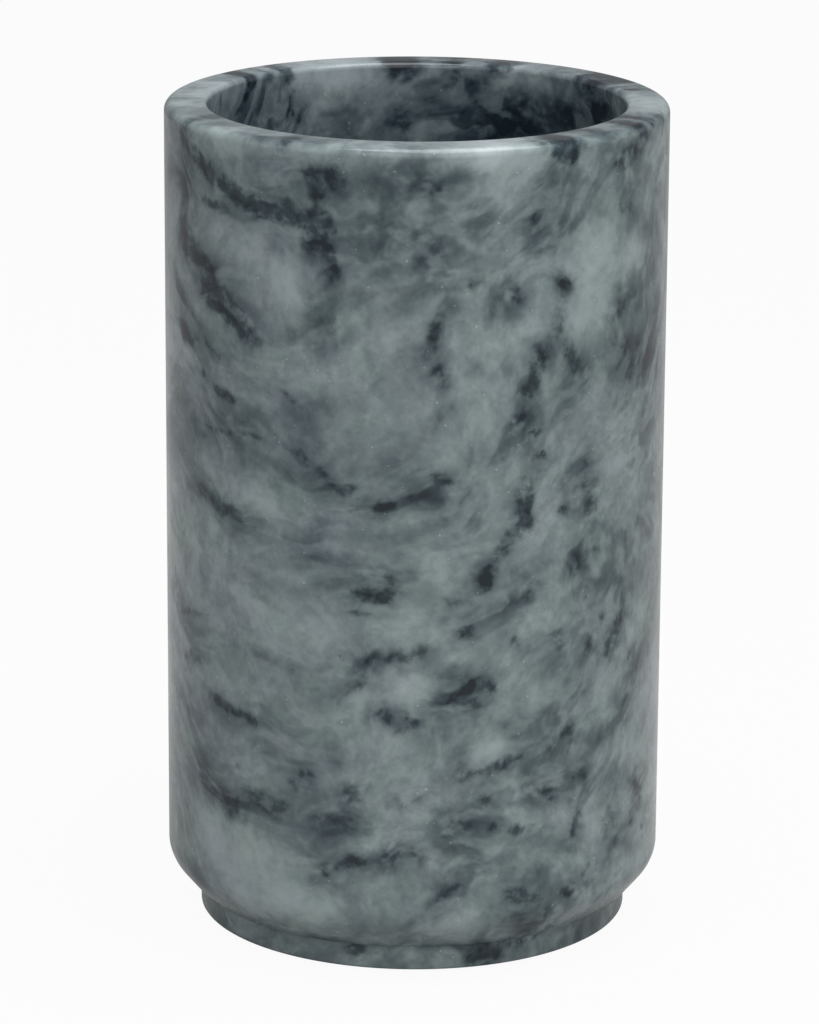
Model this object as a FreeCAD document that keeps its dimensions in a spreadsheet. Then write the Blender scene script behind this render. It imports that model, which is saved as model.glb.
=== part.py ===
"""Bathroom tumbler: a cup turned from one block of grey marble, on four stick-on pads.

Millimetres, +Z up. The origin is the centre of the surface that the tumbler stands on.
"""

import FreeCAD, Part
import os

import Sketcher

# Driving dimensions: alias, size, what it measures.
SIZES = (
    ("body_diameter", 76.2, "outside of the turned body"),
    ("stone_height", 127.0, "underside of the foot to the rim"),
    ("wall_thickness", 6.5, "stone left round the bore"),
    ("floor_thickness", 12.0, "stone left under the bore"),
    ("rim_round", 1.4, "radius of the rim's outer edge"),
    ("mouth_round", 0.9, "radius of the rim's inner edge"),
    ("floor_cove", 4.0, "radius where the bore's wall meets its floor"),
    ("foot_step", 5.0, "how far the foot stands in from the body"),
    ("foot_height", 4.0, "underside of the foot to the ledge"),
    ("ledge_width", 0.8, "flat left between the foot and the shoulder"),
    ("shoulder_rise", 5.0, "height of the sloping shoulder over the ledge"),
    ("shoulder_round", 4.5, "radius where the shoulder turns into the body"),
    ("foot_edge_round", 0.5, "radius of the foot's lower edge"),
    ("pad_diameter", 10.0, "one stick-on pad"),
    ("pad_thickness", 1.0, "gap between the foot and the surface"),
    ("pad_edge_round", 0.25, "radius of a pad's lower edge"),
    ("pad_inset", 5.0, "edge of the foot to the edge of a pad"),
    ("pad_count", 4, "pads, evenly spaced round the foot"),
)
FIRST_PAD_ANGLE = 45.0
FULL_TURN = 360.0
PARTS_FOLDER = "parts"
# Round edges are told apart by radius and height, to within this.
EDGE_TOLERANCE = 1e-4


def make_sheet(doc):
    """The spreadsheet that holds the driving dimensions, one row for each."""
    sheet = doc.addObject("Spreadsheet::Sheet", "sizes")
    for row, (alias, size, meaning) in enumerate(SIZES, 1):
        sheet.set(f"A{row}", alias)
        sheet.set(f"B{row}", str(size))
        sheet.setAlias(f"B{row}", alias)
        sheet.set(f"C{row}", meaning)
    doc.recompute()
    return sheet


def new_sketch(body, name, plane):
    """A sketch on one of the body's own origin planes."""
    sketch = body.newObject("Sketcher::SketchObject", name)
    support = next(f for f in body.Origin.OriginFeatures if f.Role == plane)
    sketch.AttachmentSupport = [(support, "")]
    sketch.MapMode = "FlatFace"
    return sketch


def drive(sketch, name, expression, *constraint):
    """Adds a dimension to the sketch and binds it to the sheet."""
    index = sketch.addConstraint(Sketcher.Constraint(*constraint))
    sketch.renameConstraint(index, name)
    sketch.setExpression(f"Constraints.{name}", expression)


def circle_sketch(body, name, radius, height, radius_expression, height_expression):
    """A circle round the Z axis, at a height above the origin."""
    sketch = new_sketch(body, name, "XY_Plane")
    sketch.AttachmentOffset = FreeCAD.Placement(FreeCAD.Vector(0, 0, height), FreeCAD.Rotation())
    sketch.setExpression("AttachmentOffset.Base.z", height_expression)
    upward = FreeCAD.Vector(0, 0, 1)
    circle = sketch.addGeometry(Part.Circle(FreeCAD.Vector(0, 0, 0), upward, radius))
    sketch.addConstraint(Sketcher.Constraint("Coincident", circle, 3, -1, 1))
    drive(sketch, "radius", radius_expression, "Radius", circle, radius)
    return sketch


def round_edge(body, name, radius, height, expression):
    """Rounds the body's circular edge of that radius at that height."""
    base = body.Tip
    for number, edge in enumerate(base.Shape.Edges, 1):
        curve = edge.Curve
        if not isinstance(curve, Part.Circle):
            continue
        off_radius = abs(curve.Radius - radius)
        off_height = abs(curve.Center.z - height)
        if max(off_radius, off_height) < EDGE_TOLERANCE:
            break
    else:
        raise RuntimeError(f"{name}: no round edge of radius {radius} at height {height}")
    fillet = body.newObject("PartDesign::Fillet", name)
    fillet.Base = (base, [f"Edge{number}"])
    fillet.setExpression("Radius", expression)
    body.Document.recompute()
    return fillet


def turn_blank(body, sheet):
    """The solid turned form: foot, ledge, sloping shoulder and straight body."""
    body_radius = sheet.body_diameter / 2
    foot_radius = body_radius - sheet.foot_step
    underside = sheet.pad_thickness
    ledge = underside + sheet.foot_height
    shoulder = ledge + sheet.shoulder_rise
    rim = underside + sheet.stone_height
    corners = [
        FreeCAD.Vector(0, underside, 0),
        FreeCAD.Vector(foot_radius, underside, 0),
        FreeCAD.Vector(foot_radius, ledge, 0),
        FreeCAD.Vector(foot_radius + sheet.ledge_width, ledge, 0),
        FreeCAD.Vector(body_radius, shoulder, 0),
        FreeCAD.Vector(body_radius, rim, 0),
        FreeCAD.Vector(0, rim, 0),
    ]
    sketch = new_sketch(body, "turning_profile", "XZ_Plane")
    lines = []
    for start, end in zip(corners, corners[1:] + corners[:1]):
        lines.append(sketch.addGeometry(Part.LineSegment(start, end)))
    for line, following in zip(lines, lines[1:] + lines[:1]):
        sketch.addConstraint(Sketcher.Constraint("Coincident", line, 2, following, 1))
    bottom, foot_side, ledge_face, slope, body_side, top, axis = lines
    for level in (bottom, ledge_face, top):
        sketch.addConstraint(Sketcher.Constraint("Horizontal", level))
    for upright in (foot_side, body_side, axis):
        sketch.addConstraint(Sketcher.Constraint("Vertical", upright))
    sketch.addConstraint(Sketcher.Constraint("PointOnObject", bottom, 1, -2))
    drive(sketch, "underside", "sizes.pad_thickness", "DistanceY", -1, 1, bottom, 1, underside)
    drive(sketch, "height", "sizes.stone_height", "DistanceY", bottom, 1, top, 2, sheet.stone_height)
    drive(sketch, "body_radius", "sizes.body_diameter / 2", "DistanceX", top, 2, top, 1, body_radius)
    drive(sketch, "foot_step", "sizes.foot_step", "DistanceX", foot_side, 1, body_side, 1, sheet.foot_step)
    drive(sketch, "foot_height", "sizes.foot_height", "DistanceY", foot_side, 1, foot_side, 2, sheet.foot_height)
    drive(sketch, "ledge", "sizes.ledge_width", "DistanceX", ledge_face, 1, ledge_face, 2, sheet.ledge_width)
    drive(sketch, "rise", "sizes.shoulder_rise", "DistanceY", slope, 1, slope, 2, sheet.shoulder_rise)
    blank = body.newObject("PartDesign::Revolution", "turned_blank")
    blank.Profile = sketch
    blank.ReferenceAxis = (sketch, ["V_Axis"])
    blank.Angle = FULL_TURN
    body.Document.recompute()
    return blank


def bore_cup(body, sheet):
    """The bore, cut down from the rim to leave the wall and the floor."""
    before = body.Shape.Volume
    radius = sheet.body_diameter / 2 - sheet.wall_thickness
    rim = sheet.pad_thickness + sheet.stone_height
    mouth = circle_sketch(
        body,
        "bore_circle",
        radius,
        rim,
        "sizes.body_diameter / 2 - sizes.wall_thickness",
        "sizes.pad_thickness + sizes.stone_height",
    )
    bore = body.newObject("PartDesign::Pocket", "bore")
    bore.Profile = mouth
    bore.setExpression("Length", "sizes.stone_height - sizes.floor_thickness")
    body.Document.recompute()
    if body.Shape.Volume >= before:
        raise RuntimeError("the bore cut nothing")
    return bore


def make_marble_body(doc, sheet):
    """The cup and its stepped foot: one stone, with every turned edge eased."""
    body = doc.addObject("PartDesign::Body", "marble_body")
    body.Label = "marble_body"
    turn_blank(body, sheet)
    bore_cup(body, sheet)
    body_radius = sheet.body_diameter / 2
    foot_radius = body_radius - sheet.foot_step
    bore_radius = body_radius - sheet.wall_thickness
    underside = sheet.pad_thickness
    rim = underside + sheet.stone_height
    floor = underside + sheet.floor_thickness
    shoulder = underside + sheet.foot_height + sheet.shoulder_rise
    round_edge(body, "rim_edge", body_radius, rim, "sizes.rim_round")
    round_edge(body, "mouth_edge", bore_radius, rim, "sizes.mouth_round")
    round_edge(body, "floor_edge", bore_radius, floor, "sizes.floor_cove")
    round_edge(body, "shoulder_edge", body_radius, shoulder, "sizes.shoulder_round")
    round_edge(body, "foot_edge", foot_radius, underside, "sizes.foot_edge_round")
    return body


def make_pad(doc, sheet, number):
    """One round pad stuck under the foot, its lower edge eased."""
    label = f"foot_pad_{number}"
    body = doc.addObject("PartDesign::Body", label)
    body.Label = label
    radius = sheet.pad_diameter / 2
    outline = circle_sketch(body, f"{label}_outline", radius, 0, "sizes.pad_diameter / 2", "0 mm")
    disc = body.newObject("PartDesign::Pad", f"{label}_disc")
    disc.Profile = outline
    disc.setExpression("Length", "sizes.pad_thickness")
    doc.recompute()
    round_edge(body, f"{label}_edge", radius, 0, "sizes.pad_edge_round")
    reach = "(sizes.body_diameter / 2 - sizes.foot_step - sizes.pad_inset - sizes.pad_diameter / 2)"
    turn = f"({FIRST_PAD_ANGLE} + {FULL_TURN} * {number - 1} / sizes.pad_count) * 1 deg"
    body.setExpression("Placement.Base.x", f"{reach} * cos({turn})")
    body.setExpression("Placement.Base.y", f"{reach} * sin({turn})")
    return body


def check(doc, pieces):
    """Stops the build if any object failed or any piece is not one valid solid."""
    for item in doc.Objects:
        if {"Invalid", "Error"} & set(item.State):
            raise RuntimeError(f"{item.Label} failed: {item.State}")
    for piece in pieces:
        shape = piece.Shape
        if shape.isNull() or not shape.isValid() or len(shape.Solids) != 1:
            raise RuntimeError(f"{piece.Label} is not one valid solid")


def main():
    doc = FreeCAD.newDocument("bathroom_tumbler")
    sheet = make_sheet(doc)
    pieces = [make_marble_body(doc, sheet)]
    for number in range(1, int(sheet.pad_count) + 1):
        pieces.append(make_pad(doc, sheet, number))
    doc.recompute()
    check(doc, pieces)
    os.makedirs(PARTS_FOLDER, exist_ok=True)
    for piece in pieces:
        piece.Shape.exportStep(os.path.join(PARTS_FOLDER, f"{piece.Label}.step"))
        print(f"{piece.Label}: {piece.Shape.Volume:.2f} mm3")


main()
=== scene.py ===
"""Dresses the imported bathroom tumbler: a cup of veined grey marble on four foam pads, in a plain studio.

Metres, +Z up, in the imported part's own frame. The camera stands on the -Y side.
"""

import math

import bmesh
import bpy
from bpy.props import FloatProperty, FloatVectorProperty, IntProperty, PointerProperty
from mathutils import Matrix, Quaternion, Vector


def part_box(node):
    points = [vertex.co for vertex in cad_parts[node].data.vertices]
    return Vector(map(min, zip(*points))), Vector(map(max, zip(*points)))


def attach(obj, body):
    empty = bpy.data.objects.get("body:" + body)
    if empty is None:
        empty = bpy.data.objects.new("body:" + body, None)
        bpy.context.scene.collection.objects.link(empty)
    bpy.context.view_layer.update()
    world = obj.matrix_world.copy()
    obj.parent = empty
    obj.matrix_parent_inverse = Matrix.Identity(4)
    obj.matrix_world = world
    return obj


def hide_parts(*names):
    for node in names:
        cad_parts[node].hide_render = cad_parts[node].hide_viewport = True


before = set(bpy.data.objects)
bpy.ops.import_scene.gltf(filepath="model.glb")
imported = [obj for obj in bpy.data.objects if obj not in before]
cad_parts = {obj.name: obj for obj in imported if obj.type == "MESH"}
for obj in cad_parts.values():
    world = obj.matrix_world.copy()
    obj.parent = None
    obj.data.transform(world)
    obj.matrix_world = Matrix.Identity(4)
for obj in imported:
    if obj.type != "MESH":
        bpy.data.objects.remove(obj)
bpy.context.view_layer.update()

bl_info = {
    "name": "Marble tumbler",
    "version": (1, 0, 0),
    "blender": (4, 5, 0),
    "location": "View3D > Sidebar > Tumbler",
    "description": "Builds a turned marble tumbler on foam pads, with its stage",
    "category": "Object",
}

STONE_NODE = "marble_body"
PAD_NODES = sorted(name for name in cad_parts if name.startswith("foot_pad_"))
STONE_LOW, STONE_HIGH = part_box(STONE_NODE)
MILLIMETRES = 1000.0


def screen_colour(red, green, blue):
    """The linear colour of a screen colour given as 0 to 255."""
    linear = []
    for channel in (red, green, blue):
        share = channel / 255
        linear.append(share / 12.92 if share <= 0.04045 else ((share + 0.055) / 1.055) ** 2.4)
    return tuple(linear)


def length(name, description, default):
    """A property that holds a length in metres."""
    return FloatProperty(
        name=name, description=description, default=default, min=0.0, precision=5, unit="LENGTH"
    )


def colour(name, description, default):
    """A property that holds a linear colour."""
    return FloatVectorProperty(
        name=name, description=description, default=default, min=0.0, max=1.0, size=3, subtype="COLOR"
    )


# Settings that a user would change


class TumblerSizes(bpy.types.PropertyGroup):
    """Sizes of the turned stone and its pads."""

    body_radius: length("Body radius", "Outside of the turned body", STONE_HIGH.x)
    rim_height: length("Rim height", "Standing surface to the rim", STONE_HIGH.z)
    underside: length("Underside", "Standing surface to the stone", STONE_LOW.z)
    wall: length("Wall", "Stone left round the bore", 0.0065)
    floor: length("Floor", "Stone left under the bore", 0.012)
    rim_round: length("Rim round", "Radius of the rim's outer edge", 0.0014)
    mouth_round: length("Mouth round", "Radius of the rim's inner edge", 0.0009)
    floor_cove: length("Floor cove", "Radius where the bore meets its floor", 0.004)
    foot_step: length("Foot step", "How far the foot stands in from the body", 0.005)
    foot_height: length("Foot height", "Underside of the foot to the ledge", 0.004)
    ledge: length("Ledge", "Flat left between the foot and the shoulder", 0.0008)
    shoulder_rise: length("Shoulder rise", "Height of the sloping shoulder", 0.005)
    shoulder_round: length("Shoulder round", "Radius where the shoulder meets the body", 0.0045)
    foot_round: length("Foot round", "Radius of the foot's lower edge", 0.0005)
    pad_round: length("Pad round", "Radius of a pad's lower edge", 0.00025)
    ring_gap: length("Ring gap", "Widest gap between rings of the mesh", 0.004)
    ledge_ease: length("Ledge ease", "Radius of the ledge's two edges", 0.0003)
    turns: IntProperty(name="Turns", description="Steps in one turn of the stone", default=192, min=24)


class StoneColours(bpy.types.PropertyGroup):
    """Colours of the marble and the foam."""

    white: colour("White", "Palest crystals of the marble", screen_colour(151, 164, 163))
    pale: colour("Pale", "Pale patches of the marble", screen_colour(131, 144, 143))
    ground: colour("Ground", "Main ground of the marble", screen_colour(108, 121, 121))
    shade: colour("Shade", "Clouds in the marble", screen_colour(81, 94, 96))
    deep: colour("Deep", "Broad veins of the marble", screen_colour(50, 63, 68))
    vein: colour("Vein", "Heart of the darkest veins", screen_colour(21, 31, 38))
    tint: colour("Tint", "Tint that wanders over the marble", (0.97, 0.915, 1.0))
    foam: colour("Foam", "Foam of the pads", screen_colour(40, 41, 43))


class StudioSettings(bpy.types.PropertyGroup):
    """The camera and the lights."""

    distance: length("Distance", "Camera to the point that it aims at", 0.75434)
    elevation: FloatProperty(
        name="Elevation",
        description="Height of the camera's view",
        default=math.radians(15.494),
        subtype="ANGLE",
    )
    roll: FloatProperty(
        name="Roll", description="Turn of the picture", default=math.radians(0.348), subtype="ANGLE"
    )
    aim_height: length("Aim height", "Height of the point that the camera aims at", 0.063611)
    aim_side: FloatProperty(
        name="Aim side", description="Aim point along X", default=-0.000766, precision=6, unit="LENGTH"
    )
    lens: FloatProperty(name="Lens", description="Focal length in millimetres", default=172.17)
    top_power: FloatProperty(name="Top light", description="Softbox overhead, in watts", default=5.0)
    front_power: FloatProperty(
        name="Front light", description="Softbox above the camera, in watts", default=5.0
    )
    sky: FloatProperty(name="Sky", description="Light from all round", default=0.44)
    floor_paper: colour("Floor", "Paper under the tumbler", (0.46, 0.46, 0.46))
    backdrop_paper: colour("Backdrop", "Paper behind the tumbler", (0.4, 0.4, 0.4))


# Shader nodes

# The middle of the values that noise and crystals take
MIDDLE = 0.5


def feed(socket, value):
    """Links a wire to the socket, or sets the socket's own value."""
    if isinstance(value, Wire):
        socket.id_data.links.new(value.socket, socket)
    else:
        socket.default_value = value


class Wire:
    """One output of a node. Sums written with it become Math nodes in its tree."""

    def __init__(self, socket):
        self.socket = socket

    def math(self, operation, *values):
        node = self.socket.id_data.nodes.new("ShaderNodeMath")
        node.operation = operation
        for socket, value in zip(node.inputs, values):
            feed(socket, value)
        return Wire(node.outputs[0])

    def __add__(self, other):
        return self.math("ADD", self, other)

    def __radd__(self, other):
        return self.math("ADD", other, self)

    def __sub__(self, other):
        return self.math("SUBTRACT", self, other)

    def __rsub__(self, other):
        return self.math("SUBTRACT", other, self)

    def __mul__(self, other):
        return self.math("MULTIPLY", self, other)

    def __abs__(self):
        return self.math("ABSOLUTE", self)


class NodeTree:
    """The nodes of one material or of the world."""

    def __init__(self, owner):
        owner.use_nodes = True
        self.tree = owner.node_tree
        self.tree.nodes.clear()

    def node(self, kind, settings=None, sockets=None, output=0):
        """Adds a node, its settings first, and returns one of its outputs."""
        node = self.tree.nodes.new(kind)
        for name, value in (settings or {}).items():
            if name == "stops":
                self.set_stops(node.color_ramp, value)
            else:
                setattr(node, name, value)
        for name, value in (sockets or {}).items():
            feed(node.inputs[name], value)
        return Wire(node.outputs[output]) if node.outputs else None

    def set_stops(self, ramp, stops):
        """Fills a colour ramp with its (place, colour) stops."""
        while len(ramp.elements) < len(stops):
            ramp.elements.new(1.0)
        for element, (place, tone) in zip(ramp.elements, stops):
            element.position = place
            element.color = (*tone, 1.0)

    def noise(self, place, size, detail=3.0, roughness=0.55, output="Fac"):
        """Noise whose features are about that size, in the units of place."""
        sockets = {"Vector": place, "Scale": 1 / size, "Detail": detail, "Roughness": roughness}
        return self.node("ShaderNodeTexNoise", {}, sockets, output)

    def vector(self, operation, first, second=None, scale=None):
        """Vector Math on one or two vectors."""
        sockets = {0: first}
        if second is not None:
            sockets[1] = second
        if scale is not None:
            sockets["Scale"] = scale
        return self.node("ShaderNodeVectorMath", {"operation": operation}, sockets)

    def step(self, value, low, high):
        """0 below low, 1 above high and a smooth step between them."""
        settings = {"interpolation_type": "SMOOTHSTEP"}
        return self.node("ShaderNodeMapRange", settings, {"Value": value, "From Min": low, "From Max": high})

    def ramp(self, value, stops):
        """A colour that runs through the stops, whose places are in the units of value."""
        low = stops[0][0]
        high = stops[-1][0]
        share = self.node("ShaderNodeMapRange", {}, {"Value": value, "From Min": low, "From Max": high})
        placed = [((place - low) / (high - low), tone) for place, tone in stops]
        return self.node("ShaderNodeValToRGB", {"stops": placed}, {"Fac": share})

    def bend_push(self, place, size, reach):
        """Pushes by noise of that size, up to about half of reach along each axis."""
        push = self.noise(place, size, detail=2.0, roughness=0.5, output="Color")
        centred = self.vector("SUBTRACT", push, (MIDDLE, MIDDLE, MIDDLE))
        return self.vector("MULTIPLY", centred, reach)

    def bend(self, place, size, reach):
        """Places pushed about by noise of that size."""
        return self.vector("ADD", place, self.bend_push(place, size, reach))

    def mix(self, share, first, second, blend="MIX"):
        """Two colours mixed by share."""
        settings = {"data_type": "RGBA", "blend_type": blend}
        return self.node("ShaderNodeMix", settings, {0: share, 6: first, 7: second}, 2)

    def surface(self, shader, kind="ShaderNodeOutputMaterial"):
        """Connects the finished shader to the tree's output."""
        self.node(kind, {}, {"Surface": shader})


def opaque(tone):
    """A colour with full alpha, as colour sockets take it."""
    return (*tone, 1.0)


# Marble

# The stone's layers dip towards -Y and rise towards +X.
LAYER_NORMAL = Vector((-0.6, -0.9, 1.0))

# Stretches along the layers, with the thickness last
CLOUD_STRETCH = (2.4, 2.0, 1.0)
BAND_STRETCH = (6.0, 5.0, 1.0)
BLOCK_STRETCH = (2.0, 1.6, 1.0)

# Sizes of the stone's marks, and how far they push one another about, in millimetres
SWIRL_SIZE = 34.0
SWIRL_REACH = (22.0, 22.0, 22.0)
EDDY_SIZE = 9.0
EDDY_REACH = (5.0, 5.0, 5.0)
CLOUD_SIZE = 9.0
BAND_SIZE = 2.4
BLOCK_SIZE = 2.6
PATCH_SIZE = 5.0
MOTTLE_SIZE = 1.5
MOTTLE_BEND = 2.0
MOTTLE_REACH = (1.0, 1.0, 1.0)
DASH_SIZE = 3.2
RIDGE_SIZE = 16.0
GAP_SIZE = 12.0
HAZE_SIZE = 11.0
GRAIN_BEND = 1.2
GRAIN_REACH = (0.8, 0.8, 0.8)
CRYSTALS_PER_MILLIMETRE = 1.6
STROKE_PUSH_SIZE = 5.0
STROKE_PUSH = (2.4, 2.4, 0.0)
STROKE_RIPPLE_SIZE = 0.9
STROKE_RIPPLE = (1.1, 1.1, 0.0)
LEFT_RIPPLE = 0.4
ADDED_RIGHT_RIPPLE = 0.6

# Values between which each mark fades in
BLOTCH_FADE = (0.38, 0.62)
PATCH_FADE = (0.38, 0.62)
MOTTLE_FADE = (0.36, 0.64)
DASH_FADE = (0.56, 0.72)
RIDGE_FADE = (0.035, 0.0)
GAP_FADE = (0.42, 0.62)
HAZE_FADE = (0.3, 0.7)
HALO_FADE = (0.0, 0.7)
HEART_FADE = (0.22, 1.0)
# the few bright crystals are pale calcite, partly painted sparkle
BRIGHT_CRYSTALS = (0.98, 0.99)
CRYSTAL_MIDDLE = (0.4, 0.2)

# Places between which one kind of marking gives way to another, in millimetres or radians
BANDS_TO_BLOCKS = (-22.0, 6.0)
SIDES_TO_FRONT = (math.radians(80), math.radians(62))
BORE_TO_MOUTH = (104.0, 114.0)
OUTSIDE_TO_RIM = (-0.3, -1.5)
INSIDE_TO_SKIN = (-8.0, -1.0)

# How far each mark darkens the stone, whose ground is about 0.4 and whose darkest veins reach 1.6
GROUND = 0.4
CLOUD = 1.9
CALMED_CLOUD = 1.2
PATCH = 0.2
BLOTCH = 0.19
MOTTLE = 0.1
GRAIN = 0.06
# how far the bright crystals pale the stone, partly as painted sparkle
PALE_CRYSTALS_AND_SPARKLE = 0.35
DASH = 0.6
RIDGE = 0.5
CALMED_VEINS = 0.8
TONE = 0.45
TONE_BREAKS = 0.5
HALO = 0.16
HEART = 0.3
HEART_BREAKS = 0.3
HEART_FROM_TONES = 0.3
INK = 0.5
INK_BREAKS = 0.8
INK_GRAIN = 0.15

# How far the tint spreads over the left, how much less on the right, and how far over the mouth
TINT = 1.2
LOST_RIGHT_TINT = 0.65
MOUTH_TINT = 0.8

STONE_ROUGHNESS = 0.19
ROUGHNESS_GRAIN = 0.04
STONE_IOR = 1.4

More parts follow.
